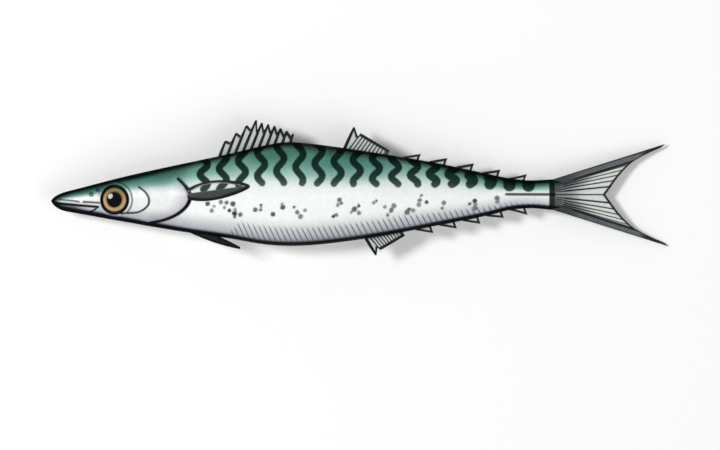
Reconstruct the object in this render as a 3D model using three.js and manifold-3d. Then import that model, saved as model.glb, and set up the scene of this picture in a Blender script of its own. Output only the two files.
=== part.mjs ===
// A whole raw mackerel, lying on its right flank with the left side up.
// Millimetres, +Z up. X runs from the snout (-X) to the tail tips (+X), and +Y is the fish's back.
// Until the last step everything is laid out by two measures taken on the fish itself:
// s, the distance behind the snout, and y, the height above the line through the tail's fork.
import * as THREE from "three";
import { mergeVertices } from "three/addons/utils/BufferGeometryUtils.js";
import Module from "manifold-3d";

const wasm = await Module();
wasm.setup();

// Driving dimensions of the body
const PEDUNCLE_END = 277; // the tail fin starts here
const HYPURAL_END = 285; // the flesh thins to a blade inside the tail fin
const LIFT = 18.6; // height of the fish's middle plane above the table where the flank rests
const REST_FROM = 110; // the middle plane is level from here
const REST_TO = 150; // to here
const DROOP = 0.00047; // how fast head and tail sink towards the table, per mm
const FLANK_FULLNESS = 0.93; // 1 is an ellipse, less is a fuller flank

// Outline of the side view as [s, y], and half the thickness as [s, z]
const BACK = [
  [0, -3.3], [2, -1], [6, 1.1], [14, 3.3], [45, 11.2], [98, 22.7], [119, 27.6], [131, 29.2],
  [150, 27.5], [180, 23.1], [210, 18.1], [236, 12.7], [252, 9.3], [264, 8.1], [PEDUNCLE_END, 8.8],
];
const BELLY = [
  [0, -3.3], [2, -6], [6, -8.4], [14, -10], [68, -19.5], [98, -23.9], [118, -27.3], [134, -28.1],
  [152, -26.9], [180, -23], [215, -16.4], [240, -11.4], [252, -8.4], [264, -7.3], [PEDUNCLE_END, -8.3],
];
const HALF_WIDTH = [
  [0, 0], [2, 1.8], [6, 3.1], [14, 4.8], [35, 8.8], [60, 12.8], [85, 16], [110, 18.4], [134, 19.2],
  [170, 17.2], [200, 13.2], [230, 8.6], [252, 5], [264, 3.9], [PEDUNCLE_END, 3.2],
];

// Head: the eye and its rim, the mouth, the nostrils and the two plates of the gill cover.
// Places are [s, y], and angles are turned from straight back (0) up (+) or down (-)
const EYE = { s: 35.5, y: -2.6, radius: 7.4, dome: 2.1, depth: 4.2, proud: 0.9, gap: 0.35 };
const EYE_TILT = 0.18; // the cheek narrows towards the snout, and the eye turns with it
const EYE_RIM = { clear: 1.1, halfBreadth: 1, height: 0.45 };
const MOUTH = { from: [1.2, -4.2], to: [26.2, -6.7], gape: 0.5, depth: 1.5 };
const UPPER_LIP = { from: [3, -3.4], to: [27, -5.4], halfBreadth: 0.6, height: 0.35 };
const NOSTRILS = [
  { s: 22.5, y: 0.3, radius: 0.9 },
  { s: 26, y: 2.9, radius: 0.75 },
];
const CHEEK = { s: 45.5, y: -2.2, reach: 9.2, height: 7.8, from: -1.75, to: 1.05, halfBreadth: 0.7, rise: 0.5 };
const GILL_COVER = { s: 55, y: -0.4, reach: 22, height: 14.4, from: -1.95, to: 0.86, raised: 0.9, sunk: 0.3 };

// Fins of the back and belly
const SPINY_DORSAL = { from: 92.4, pitch: 4.33, lean: 0.46 };
const SPINE_HEIGHTS = [8.4, 11.8, 14.9, 16.8, 14.3, 12.5, 10.6, 8.4, 6.3, 4.5];
const SOFT_RAYS = 11;
const SOFT_DORSAL = { from: 160.6, to: 184.6, lead: 11.7, leadLean: 0.51, tall: 8.7, low: 2.3, lean: 0.85 };
const ANAL_FIN = { from: 172.1, to: 193.1, lead: 9.3, leadLean: 0.7, tall: 6.9, low: 1.9, lean: 0.97 };
const FINLETS = { count: 5, length: 9.8, half: 0.4 };
const BACK_FINLETS = { firstTip: 203.7, pitch: 14.6, height: 3.4, swell: 0.7 };
const BELLY_FINLETS = { firstTip: 210.6, pitch: 12.95, height: 3.7, swell: 0 };
const FIN_LEAN = 0.006; // an upright fin bows towards the table by this times its height squared
const FIN_BEDDED = 1.6; // how deep a fin's root sits in the flesh

// The tail, the paired fins and the keel on the tail stem
const TAIL = { tip: 340, span: 28.2, fork: 305.2, forkY: 0.2, root: 8.4, rootY: 0.25, rays: 15 };
const TAIL_LOWER_LOBE = 0.8; // how much longer the lower lobe is than the middle of the two
// The trailing edge: how far behind the fork it lies, from the fork (0) to the tip of a lobe (1)
const TAIL_SWEEP = [
  [0, 0], [0.16, 3.3], [0.33, 6.8], [0.49, 10.7], [0.62, 14.6],
  [0.72, 19], [0.83, 25.2], [0.93, 31.5], [1, 34],
];
const PECTORAL = { root: [75.6, 0.5], tip: [109.2, 4.7], halfRoot: 2.2, swell: 3.1, proud: 1, groove: 0.3 };
const PELVIC = {
  root: [75, -18.3], tip: [104.3, -29.2], z: [2.2, 3.6], halfRoot: 1.2, swell: 1.35, half: 0.62,
};
const KEEL = { from: 250, to: PEDUNCLE_END, y: 0.4, halfBreadth: 0.9, height: 0.9 };
const MEMBRANE = 0.6; // thickness of the skin between two rays
const SMALLEST_DETAIL = 0.03; // slivers that the joins leave are closed up to this

// A smooth curve through [x, value] stations, as a function of x
function smoothThrough(stations) {
  const slope = stations.map((p, i) => {
    const a = stations[Math.max(0, i - 1)];
    const b = stations[Math.min(stations.length - 1, i + 1)];
    return (b[1] - a[1]) / (b[0] - a[0]);
  });
  return (x) => {
    let i = stations.findIndex((p) => p[0] > x) - 1;
    if (i < 0) i = x < stations[0][0] ? 0 : stations.length - 2;
    const [x0, v0] = stations[i];
    const [x1, v1] = stations[i + 1];
    const w = x1 - x0;
    const t = THREE.MathUtils.clamp((x - x0) / w, 0, 1);
    const t2 = t * t;
    const t3 = t2 * t;
    return (2 * t3 - 3 * t2 + 1) * v0 + (t3 - 2 * t2 + t) * w * slope[i]
      + (3 * t2 - 2 * t3) * v1 + (t3 - t2) * w * slope[i + 1];
  };
}

const back = smoothThrough(BACK);
const belly = smoothThrough(BELLY);
const halfWidth = smoothThrough(HALF_WIDTH);

// Height of the fish's middle plane above the table
function middlePlane(s) {
  const beyond = Math.max(0, REST_FROM - s, s - REST_TO);
  return LIFT - DROOP * beyond * beyond;
}

// The body's section at s: its middle height, half its depth and half its thickness
function section(s) {
  const flesh = Math.min(s, PEDUNCLE_END);
  const thin = THREE.MathUtils.clamp((HYPURAL_END - s) / (HYPURAL_END - PEDUNCLE_END), 0, 1);
  return {
    middle: (back(flesh) + belly(flesh)) / 2,
    depth: ((back(flesh) - belly(flesh)) / 2) * (0.8 + 0.2 * Math.sqrt(thin)),
    width: halfWidth(flesh) * Math.max(0.08, thin),
  };
}

// A point of the skin at s and at the angle round the section, 0 at the middle of the left flank
function skinAt(s, angle) {
  const { middle, depth, width } = section(s);
  const c = Math.cos(angle);
  const z = Math.sign(c) * width * Math.pow(Math.abs(c), FLANK_FULLNESS);
  return new THREE.Vector3(s, middle + depth * Math.sin(angle), z);
}

// A point of the flank at s and y, moved off the skin by lift. side is 1 for the left flank, -1 for the right
function onFlank(s, y, side, lift = 0) {
  const { middle, depth } = section(s);
  const angle = Math.asin(THREE.MathUtils.clamp((y - middle) / depth, -0.999, 0.999));
  const step = 0.05;
  const along = skinAt(s + step, angle).sub(skinAt(s - step, angle));
  const round = skinAt(s, angle + step).sub(skinAt(s, angle - step));
  const normal = along.cross(round).normalize();
  if (normal.z < 0) normal.negate();
  const p = skinAt(s, angle).addScaledVector(normal, lift);
  p.z *= side;
  return p;
}

// A closed geometry from rings of points, all of one length. Without a loop, both ends close on their middle
function fromRings(rings, looped = false) {
  const around = rings[0].length;
  const vertices = rings.flat();
  const faces = [];
  const steps = looped ? rings.length : rings.length - 1;
  for (let i = 0; i < steps; i++) {
    const a = i * around;
    const b = ((i + 1) % rings.length) * around;
    for (let j = 0; j < around; j++) {
      const k = (j + 1) % around;
      faces.push(a + j, b + j, b + k, a + j, b + k, a + k);
    }
  }
  if (!looped) {
    for (const [ring, start, turned] of [[rings[0], 0, false], [rings.at(-1), steps * around, true]]) {
      const middle = ring.reduce((sum, p) => sum.add(p), new THREE.Vector3()).divideScalar(around);
      vertices.push(middle);
      for (let j = 0; j < around; j++) {
        const k = start + ((j + 1) % around);
        faces.push(vertices.length - 1, ...(turned ? [k, start + j] : [start + j, k]));
      }
    }
  }
  const geometry = new THREE.BufferGeometry().setFromPoints(vertices);
  geometry.setIndex(faces);
  return geometry;
}

// The solid of a closed geometry, moved from the fish's own straight middle plane to where it lies on the table
function laidDown(geometry) {
  const bare = new THREE.BufferGeometry();
  bare.setAttribute("position", geometry.getAttribute("position").clone());
  bare.setIndex(geometry.index);
  const position = bare.getAttribute("position");
  for (let i = 0; i < position.count; i++) position.setZ(i, position.getZ(i) + middlePlane(position.getX(i)));
  return solidOf(bare);
}

// The solid of a closed geometry, turned right side out
function solidOf(bare) {
  const merged = mergeVertices(bare, 1e-4);
  const vertProperties = merged.attributes.position.array;
  const triVerts = new Uint32Array(merged.index.array);
  const build = () => new wasm.Manifold(new wasm.Mesh({ numProp: 3, vertProperties, triVerts }));
  const solid = build();
  if (solid.volume() > 0) return solid;
  for (let i = 0; i < triVerts.length; i += 3) triVerts.subarray(i, i + 2).reverse();
  return build();
}

function geometryOf(solid) {
  const mesh = solid.getMesh();
  const geometry = new THREE.BufferGeometry();
  geometry.setAttribute("position", new THREE.BufferAttribute(new Float32Array(mesh.vertProperties), 3));
  geometry.setIndex(new THREE.BufferAttribute(new Uint32Array(mesh.triVerts), 1));
  geometry.computeVertexNormals();
  return geometry;
}

// A thin sheet over a grid of columns and rows. place(column, row) gives { point, across },
// where across is half the thickness as a vector. Both faces are split into triangles alike
function sheet(columns, rows, place) {
  const rings = [];
  for (let c = 0; c < columns; c++) {
    const cells = Array.from({ length: rows }, (_, r) => place(c, r));
    rings.push([
      ...cells.map(({ point, across }) => point.clone().add(across)),
      ...cells.map(({ point, across }) => point.clone().sub(across)).reverse(),
    ]);
  }
  const around = rings[0].length;
  const faces = [];
  const quad = (a, b, c, d) => faces.push(a, b, c, a, c, d);
  for (let c = 0; c + 1 < columns; c++) {
    for (let j = 0; j < around; j++) {
      const k = (j + 1) % around;
      quad(c * around + j, (c + 1) * around + j, (c + 1) * around + k, c * around + k);
    }
  }
  for (const [c, turned] of [[0, false], [columns - 1, true]]) {
    for (let r = 0; r + 1 < rows; r++) {
      const corners = [r, r + 1, around - 2 - r, around - 1 - r].map((j) => c * around + j);
      quad(...(turned ? corners.reverse() : corners));
    }
  }
  const geometry = new THREE.BufferGeometry().setFromPoints(rings.flat());
  geometry.setIndex(faces);
  return geometry;
}

// A fin in the fish's middle plane. Each ray has a root and a tip as [s, y] and half a thickness at its root
function uprightFin(rays, rows) {
  return sheet(rays.length, rows, (c, r) => {
    const { root, tip, half } = rays[c];
    const u = r / (rows - 1);
    const s = THREE.MathUtils.lerp(root[0], tip[0], u);
    const y = THREE.MathUtils.lerp(root[1], tip[1], u);
    const height = Math.hypot(tip[0] - root[0], tip[1] - root[1]) * u;
    const z = -FIN_LEAN * height * height;
    const thick = THREE.MathUtils.lerp(half, Math.min(half, MEMBRANE / 2) * 0.8, u);
    return { point: new THREE.Vector3(s, y, z), across: new THREE.Vector3(0, 0, thick) };
  });
}

// The body, ring by ring, closer together where the outline turns quickly
function body() {
  const rings = [];
  const stations = [0.15, 0.7, 1.6, 2.8, 4.4, 6.5, 9.5, 13.5];
  for (let s = 19; s < PEDUNCLE_END; s += 7.6) stations.push(s);
  stations.push(PEDUNCLE_END, PEDUNCLE_END + 3, PEDUNCLE_END + 5.5, HYPURAL_END);
  const around = 30;
  for (const s of stations) {
    rings.push(Array.from({ length: around }, (_, j) => skinAt(s, ((j + 0.5) * 2 * Math.PI) / around)));
  }
  return fromRings(rings);
}

// The gill cover: a plate that rises out of the cheek and ends in a free, round edge
function gillCover(side) {
  const columns = 17;
  const rows = 4;
  const plateDepth = 2.1;
  return sheet(columns, rows, (c, r) => {
    const turn = THREE.MathUtils.lerp(GILL_COVER.from, GILL_COVER.to, c / (columns - 1));
    const out = r / (rows - 1);
    const s = GILL_COVER.s + GILL_COVER.reach * Math.cos(turn) * THREE.MathUtils.lerp(0.45, 1, out);
    const y = GILL_COVER.y + GILL_COVER.height * Math.sin(turn) * THREE.MathUtils.lerp(0.6, 1, out);
    const fade = Math.min(1, c / 4, (columns - 1 - c) / 1.5);
    const top = THREE.MathUtils.lerp(-GILL_COVER.sunk, GILL_COVER.raised, Math.pow(out, 1.5) * fade);
    const outer = onFlank(s, y, side, top);
    const inner = onFlank(s, y, side, top - plateDepth);
    const point = outer.clone().add(inner).multiplyScalar(0.5);
    return { point, across: outer.sub(point) };
  });
}

// A low round ridge along a path of [s, y] points on the flank
function ridge(path, side, halfBreadth, height, looped = false) {
  const outline = [[-1, -0.6], [-0.75, 0.45], [0, 1], [0.75, 0.45], [1, -0.6]];
  const rings = path.map(([s, y], i) => {
    const before = path[looped ? (i + path.length - 1) % path.length : Math.max(0, i - 1)];
    const after = path[looped ? (i + 1) % path.length : Math.min(path.length - 1, i + 1)];
    const along = new THREE.Vector2(after[0] - before[0], after[1] - before[1]).normalize();
    const end = looped ? 1 : Math.min(1, 0.25 + Math.min(i, path.length - 1 - i) / 2);
    return outline.map(([b, h]) => {
      const breadth = b * halfBreadth * end;
      const lift = h > 0 ? h * height * end - 0.1 * (1 - end) : h;
      return onFlank(s - along.y * breadth, y + along.x * breadth, side, lift);
    });
  });
  return fromRings(rings, looped);
}

// The fleshy rim round the eye
function eyeRim(side) {
  const steps = 28;
  const radius = EYE.radius + EYE_RIM.clear;
  const path = Array.from({ length: steps }, (_, i) => {
    const a = (i * 2 * Math.PI) / steps;
    return [EYE.s + radius * Math.cos(a), EYE.y + radius * Math.sin(a)];
  });
  return ridge(path, side, EYE_RIM.halfBreadth, EYE_RIM.height, true);
}

// The ridge of the front gill plate, round the cheek behind the eye
function cheekRidge(side) {
  const steps = 12;
  const path = Array.from({ length: steps }, (_, i) => {
    const a = THREE.MathUtils.lerp(CHEEK.from, CHEEK.to, i / (steps - 1));
    return [CHEEK.s + CHEEK.reach * Math.cos(a), CHEEK.y + CHEEK.height * Math.sin(a)];
  });
  return ridge(path, side, CHEEK.halfBreadth, CHEEK.rise);
}

// A straight ridge between two places: the keel on the tail stem, and the upper lip
function straightRidge(from, to, side, halfBreadth, height) {
  const steps = 9;
  const path = Array.from({ length: steps }, (_, i) => {
    const u = i / (steps - 1);
    return [THREE.MathUtils.lerp(from[0], to[0], u), THREE.MathUtils.lerp(from[1], to[1], u)];
  });
  return ridge(path, side, halfBreadth, height);
}

function keel(side) {
  return straightRidge([KEEL.from, KEEL.y], [KEEL.to, KEEL.y], side, KEEL.halfBreadth, KEEL.height);
}

function upperLip(side) {
  return straightRidge(UPPER_LIP.from, UPPER_LIP.to, side, UPPER_LIP.halfBreadth, UPPER_LIP.height);
}

// The closed mouth: a slit that runs back from the snout under the eye's front
function mouthSlit(side) {
  const steps = 10;
  const rings = Array.from({ length: steps }, (_, i) => {
    const u = i / (steps - 1);
    const s = THREE.MathUtils.lerp(MOUTH.from[0], MOUTH.to[0], u);
    const y = THREE.MathUtils.lerp(MOUTH.from[1], MOUTH.to[1], u);
    const gape = (MOUTH.gape / 2) * (1 - 0.5 * u);
    const depth = Math.min(MOUTH.depth, halfWidth(s) * 0.5);
    return [
      onFlank(s, y + gape, side, 0.8),
      onFlank(s, y, side, -depth),
      onFlank(s, y - gape, side, 0.8),
    ];
  });
  return fromRings(rings);
}

function nostril({ s, y, radius }, side) {
  const pit = new THREE.SphereGeometry(radius, 12, 8);
  const place = onFlank(s, y, side, radius * 0.35);
  return pit.translate(place.x, place.y, place.z);
}

// A body of revolution about the eye's axis, from [radius, height] points, set into the head
function turnedEye(profile, side) {
  const geometry = new THREE.LatheGeometry(profile.map(([r, h]) => new THREE.Vector2(r, h)), 28);
  const seat = onFlank(EYE.s, EYE.y, 1, 0).z + EYE.proud - EYE.dome;
  geometry.rotateX(Math.PI / 2);
  geometry.rotateY(-EYE_TILT);
  if (side < 0) geometry.scale(1, 1, -1);
  return geometry.translate(EYE.s, EYE.y, side * seat);
}

function eyeball(side) {
  const steps = 12;
  const profile = Array.from({ length: steps + 1 }, (_, i) => {
    const a = -Math.PI / 2 + (Math.PI * i) / steps;
    const height = Math.sin(a) * (a < 0 ? EYE.depth : EYE.dome);
    return [i === 0 || i === steps ? 0 : EYE.radius * Math.cos(a), height];
  });
  return turnedEye(profile, side);
}

function eyeSocket(side) {
  const steps = 6;
  const wide = EYE.radius + EYE.gap;
  const profile = Array.from({ length: steps + 1 }, (_, i) => {
    const a = -Math.PI / 2 + (Math.PI / 2) * (i / steps);
    return [i === 0 ? 0 : wide * Math.cos(a), Math.sin(a) * (EYE.depth + EYE.gap)];
  });
  return turnedEye([...profile, [wide, 5], [0, 5]], side);
}

// The first dorsal fin: stiff spines with a skin that dips between their tips
function spinyDorsal() {
  const { from, pitch, lean } = SPINY_DORSAL;
  const ray = (s, height, half) => ({
    root: [s, back(s) - FIN_BEDDED],
    tip: [s + lean * height, back(s) + height],
    half,
  });
  const rays = [];
  SPINE_HEIGHTS.forEach((height, k) => {
    const s = from + pitch * k;
    const next = SPINE_HEIGHTS[k + 1];
    rays.push(ray(s - 0.35, height * 0.96, 0.45), ray(s + 0.35, height, 0.6));
    if (next === undefined) return;
    rays.push(ray(s + pitch * 0.3, height * 0.88, MEMBRANE / 2));
    rays.push(ray(s + pitch - 0.8, Math.min(height * 0.8, next * 0.74), MEMBRANE / 2));
  });
  return uprightFin(rays, 4);
}

// The soft fin on the back and its twin under the belly: one long leading ray, a notch, then short rays
function softFin(edge, sign, { from, to, lead, leadLean, tall, low, lean }) {
  const ray = (s, height, reach, half) => ({
    root: [s, edge(s) - sign * FIN_BEDDED],
    tip: [s + reach, edge(s + reach * 0.3) + sign * height],
    half,
  });
  const rays = [
    ray(from, lead * 0.97, lead * leadLean, 0.5),
    ray(from + 0.7, lead, lead * leadLean, 0.55),
    ray(from + 1.7, tall * 0.77, tall * lean * 0.9, MEMBRANE / 2),
  ];
  const firstSoft = from + 2.8;
  const halfPitch = (to - firstSoft) / (SOFT_RAYS - 1) / 2;
  for (let j = 0; j < SOFT_RAYS; j++) {
    const u = j / (SOFT_RAYS - 1);
    const s = THREE.MathUtils.lerp(firstSoft, to, u);
    const height = THREE.MathUtils.lerp(tall, low, u);
    rays.push(ray(s, height, height * lean, 0.5));
    if (j < SOFT_RAYS - 1) rays.push(ray(s + halfPitch, height * 0.955, height * lean, MEMBRANE / 2));
  }
  return uprightFin(rays, 4);
}

// The row of small sails between the soft fin and the tail
function finlet(edge, sign, k, { firstTip, pitch, height, swell }) {
  const start = firstTip + pitch * k - FINLETS.length;
  const tall = height + swell * Math.sin((Math.PI * k) / (FINLETS.count - 1));
  const rays = [0, 0.25, 0.5, 0.75, 1].map((u) => {
    const s = start + (FINLETS.length - 1.6) * u;
    return {
      root: [s, edge(s) - sign * 1.2],
      tip: [start + FINLETS.length * u, edge(s) + sign * THREE.MathUtils.lerp(0.25, tall, u)],
      half: FINLETS.half,
    };
  });
  return uprightFin(rays, 3);
}

// The forked tail: rays fan out from the stem, close together and stout along both outer edges
function tailFin() {
  const { tip, span, fork, forkY, root, rootY, rays } = TAIL;
  const sweep = smoothThrough(TAIL_SWEEP);
  const columns = 2 * rays - 1;
  const rows = 8;
  return sheet(columns, rows, (c, r) => {
    const across = (2 * c) / (columns - 1) - 1;
    const v = Math.sign(across) * Math.pow(Math.abs(across), 0.8);
    const u = r / (rows - 1);
    const w = Math.abs(v);
    const edge = [fork + sweep(w) - TAIL_LOWER_LOBE * v * w, forkY * (1 - w) + span * v];
    const start = [PEDUNCLE_END - 0.5, rootY + root * v];
    const s = THREE.MathUtils.lerp(start[0], edge[0], u);
    const y = THREE.MathUtils.lerp(start[1], edge[1], u);
    const stout = 1.15 + 0.5 * Math.pow(w, 6);
    const ridged = c % 2 === 0 ? 1 : 0.6;
    const half = THREE.MathUtils.lerp(stout, 0.42, Math.sqrt(u)) * ridged;
    const curl = 0.03 * y * Math.pow((s - PEDUNCLE_END) / (tip - PEDUNCLE_END), 2);
    return { point: new THREE.Vector3(s, y, curl), across: new THREE.Vector3(0, 0, half) };
  });
}

// The pectoral fin, laid back on the flank behind the gill cover, with grooves between its rays
function pectoralFin(side) {
  const columns = 11;
  const rows = 7;
  return sheet(columns, rows, (c, r) => {
    const across = (2 * c) / (columns - 1) - 1;
    const u = r / (rows - 1);
    const { root, tip, halfRoot, swell, proud, groove } = PECTORAL;
    const rounded = Math.sqrt(1 - 0.97 * Math.pow(u, 6));
    const breadth = (halfRoot + swell * Math.sin(Math.PI * Math.pow(u, 0.75))) * rounded;
    const s = THREE.MathUtils.lerp(root[0], tip[0], u);
    const y = THREE.MathUtils.lerp(root[1], tip[1], u) + across * breadth;
    const outer = onFlank(s, y, side, proud - (c % 2 === 0 ? 0 : groove));
    const inner = onFlank(s, y, side, -proud);
    const point = outer.clone().add(inner).multiplyScalar(0.5);
    return { point, across: outer.sub(point) };
  });
}

// The pelvic fins, a pair folded back under the belly
function pelvicFin(side) {
  const columns = 5;
  const rows = 7;
  return sheet(columns, rows, (c, r) => {
    const across = (2 * c) / (columns - 1) - 1;
    const u = r / (rows - 1);
    const { root, tip, halfRoot, swell, z: offset } = PELVIC;
    const belly = swell * Math.sin(Math.PI * (u * 0.85 + 0.1)) * (1 - 0.4 * u);
    const breadth = (halfRoot + belly) * (1 - 0.75 * Math.pow(u, 5));
    const s = THREE.MathUtils.lerp(root[0], tip[0], u);
    const y = THREE.MathUtils.lerp(root[1], tip[1], u) + across * breadth;
    const z = side * THREE.MathUtils.lerp(offset[0], offset[1], u);
    const half = PELVIC.half * (c % 2 === 0 ? 1 : 0.72) * (1 - 0.3 * u);
    return { point: new THREE.Vector3(s, y, z), across: new THREE.Vector3(0, 0, half) };
  });
}

const sides = [1, -1];
const fins = [spinyDorsal(), softFin(back, 1, SOFT_DORSAL), softFin(belly, -1, ANAL_FIN), tailFin()];
for (let k = 0; k < FINLETS.count; k++) {
  fins.push(finlet(back, 1, k, BACK_FINLETS), finlet(belly, -1, k, BELLY_FINLETS));
}
for (const side of sides) fins.push(pectoralFin(side), pelvicFin(side));

let fish = laidDown(body());
for (const side of sides) {
  const raised = [gillCover(side), cheekRidge(side), eyeRim(side), keel(side), upperLip(side)];
  for (const geometry of raised) fish = fish.add(laidDown(geometry));
  const cuts = [eyeSocket(side), mouthSlit(side), ...NOSTRILS.map((n) => nostril(n, side))];
  for (const geometry of cuts) fish = fish.subtract(laidDown(geometry));
}
for (const geometry of fins) fish = fish.add(laidDown(geometry));

// The flank that carries the weight is pressed flat on the table
const tableTop = new THREE.BoxGeometry(2 * TAIL.tip, TAIL.tip, 2 * LIFT).translate(TAIL.tip / 2, 0, -LIFT);
for (const name of ["normal", "uv"]) tableTop.deleteAttribute(name);
fish = fish.subtract(solidOf(tableTop)).simplify(SMALLEST_DETAIL);

const skinLook = new THREE.MeshStandardMaterial({ color: 0x9fb8b2, roughness: 0.3, metalness: 0.15 });
const eyeLook = new THREE.MeshStandardMaterial({ color: 0x2a2418, roughness: 0.1, metalness: 0 });
const pieces = [["fish", fish, skinLook]];
for (const [name, side] of [["eye_left", 1], ["eye_right", -1]]) {
  pieces.push([name, laidDown(eyeball(side)), eyeLook]);
}

// The origin is on the table, under the middle of the fish's box
const box = fish.boundingBox();
const group = new THREE.Group();
for (const [name, solid, look] of pieces) {
  const mesh = new THREE.Mesh(geometryOf(solid), look);
  mesh.name = name;
  mesh.position.set(-(box.min[0] + box.max[0]) / 2, -(box.min[1] + box.max[1]) / 2, -box.min[2]);
  group.add(mesh);
}

export default group;
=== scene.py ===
import math

import bpy
import numpy as np
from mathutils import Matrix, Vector


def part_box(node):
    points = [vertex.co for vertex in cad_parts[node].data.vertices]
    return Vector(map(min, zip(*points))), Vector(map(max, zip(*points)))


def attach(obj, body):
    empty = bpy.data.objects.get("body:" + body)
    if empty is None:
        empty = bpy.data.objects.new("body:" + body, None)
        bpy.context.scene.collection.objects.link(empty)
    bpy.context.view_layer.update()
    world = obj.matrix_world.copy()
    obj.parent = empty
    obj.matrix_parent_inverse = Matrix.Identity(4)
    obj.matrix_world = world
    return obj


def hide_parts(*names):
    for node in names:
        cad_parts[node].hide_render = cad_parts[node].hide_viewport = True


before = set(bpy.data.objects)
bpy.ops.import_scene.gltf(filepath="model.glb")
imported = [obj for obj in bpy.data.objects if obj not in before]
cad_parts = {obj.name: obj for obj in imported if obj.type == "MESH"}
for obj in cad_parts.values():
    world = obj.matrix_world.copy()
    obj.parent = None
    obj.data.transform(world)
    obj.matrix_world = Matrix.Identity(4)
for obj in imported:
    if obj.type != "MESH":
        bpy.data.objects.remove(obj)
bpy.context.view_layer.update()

# SKIN
# The body of a slim mackerel that lies on its right flank: one wet, smooth, small-scaled skin over the
# skull, the flanks and the tail stem. It is drawn out ring by ring from the snout, and the head's
# plates, lips, nostrils and eye sockets are then pressed into it.

# Lengths are in millimetres: s is the distance behind the snout, and y the height above the tail's fork.
MM = 0.001
FIRST_RING = 0.15
FORK_BELOW_MIDDLE = 4.129
fish_low, fish_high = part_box("fish")
SNOUT_X = fish_low.x - FIRST_RING * MM
FORK_Y = (fish_low.y + fish_high.y) / 2 - FORK_BELOW_MIDDLE * MM
# The flesh of the tail stem ends inside the fin, on the fan of bones that carries its rays
PEDUNCLE_END, HYPURAL_END = 277.0, 285.0
TAIL_ROOT_Y, TAIL_ROOT_HALF = 0.25, 8.4
# The middle plane is highest where the flank rests on the table, and droops from there to both ends
LIFT, REST_FROM, REST_TO, DROOP = 18.6, 110.0, 150.0, 0.00047
# Below 1 the flank is a little fuller than an ellipse
FLANK_FULLNESS = 0.93

# Outline of the back, of the belly, and half the thickness, each as (s, value)
BACK = [(0, -3.3), (2, -1), (6, 1.1), (14, 3.3), (45, 11.2), (98, 22.7), (119, 27.6), (131, 29.2),
        (150, 27.5), (180, 23.1), (210, 18.1), (236, 12.7), (252, 9.3), (264, 8.1), (277, 8.8)]
BELLY = [(0, -3.3), (2, -6), (6, -8.4), (14, -10), (68, -19.5), (98, -23.9), (118, -27.3), (134, -28.1),
         (152, -26.9), (180, -23), (215, -16.4), (240, -11.4), (252, -8.4), (264, -7.3), (277, -8.3)]
HALF_WIDTH = [(0, 0), (2, 1.8), (6, 3.1), (14, 4.8), (35, 8.8), (60, 12.8), (85, 16), (110, 18.4),
              (134, 19.2), (170, 17.2), (200, 13.2), (230, 8.6), (252, 5), (264, 3.9), (277, 3.2)]
# Where the green of the back has faded into the silver flank, and where the dark bars end
GREEN_TO = [(0, -3.1), (5, -2.8), (14, -1.6), (22, -0.6), (38, 1.6), (52, 2.6), (68, 2.8), (90, 4),
            (130, 4.9), (152, 4.4), (216, 4), (236, 2.4), (277, 1.4)]
BARS_TO = [(80, 1.2), (96, 1.2), (106, 3.4), (116, 4.6), (160, 4.2), (236, 3.3), (250, 1.9),
           (277, 1.5)]


def smooth_through(stations):
    """A smooth curve through (x, value) stations, as a function of x or of an array of them."""
    x, v = (np.array(row, float) for row in zip(*stations))
    slope = np.array([(v[min(i + 1, len(x) - 1)] - v[max(i - 1, 0)])
                      / (x[min(i + 1, len(x) - 1)] - x[max(i - 1, 0)]) for i in range(len(x))])

    def curve(at):
        i = np.clip(np.searchsorted(x, at, side="right") - 1, 0, len(x) - 2)
        w = x[i + 1] - x[i]
        t = np.clip((at - x[i]) / w, 0, 1)
        return ((2 * t**3 - 3 * t**2 + 1) * v[i] + (t**3 - 2 * t**2 + t) * w * slope[i]
                + (3 * t**2 - 2 * t**3) * v[i + 1] + (t**3 - t**2) * w * slope[i + 1])

    return curve


back, belly, half_width = smooth_through(BACK), smooth_through(BELLY), smooth_through(HALF_WIDTH)
green_to, bars_to = smooth_through(GREEN_TO), smooth_through(BARS_TO)


def middle_plane(s):
    """Height of the fish's middle plane above the table: head and tail sink a little."""
    beyond = np.maximum(0, np.maximum(REST_FROM - s, s - REST_TO))
    return LIFT - DROOP * beyond**2


def section(s):
    """The body's middle height, half depth and half thickness at s. Inside the tail the flesh keeps four
    fifths of its depth and thins to almost nothing."""
    flesh = np.minimum(s, PEDUNCLE_END)
    thin = np.clip((HYPURAL_END - s) / (HYPURAL_END - PEDUNCLE_END), 0, 1)
    middle = (back(flesh) + belly(flesh)) / 2
    depth = (back(flesh) - belly(flesh)) / 2 * (0.8 + 0.2 * np.sqrt(thin))
    return middle, depth, half_width(flesh) * np.maximum(0.08, thin)


def in_frame(s, y, z):
    """A point of the fish, in metres where it lies. z is off the middle plane, + to the shown flank."""
    return np.stack(np.broadcast_arrays(SNOUT_X + s * MM, FORK_Y + y * MM, (z + middle_plane(s)) * MM), -1)


def only(*objects):
    """Selects these objects and nothing else."""
    bpy.ops.object.select_all(action="DESELECT")
    for each in objects:
        each.select_set(True)
    bpy.context.view_layer.objects.active = objects[0]


def apply_modifier(piece, kind, **settings):
    only(piece)
    modifier = piece.modifiers.new(kind.lower(), kind)
    for name, value in settings.items():
        setattr(modifier, name, value)
    bpy.ops.object.modifier_apply(modifier=modifier.name)


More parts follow.
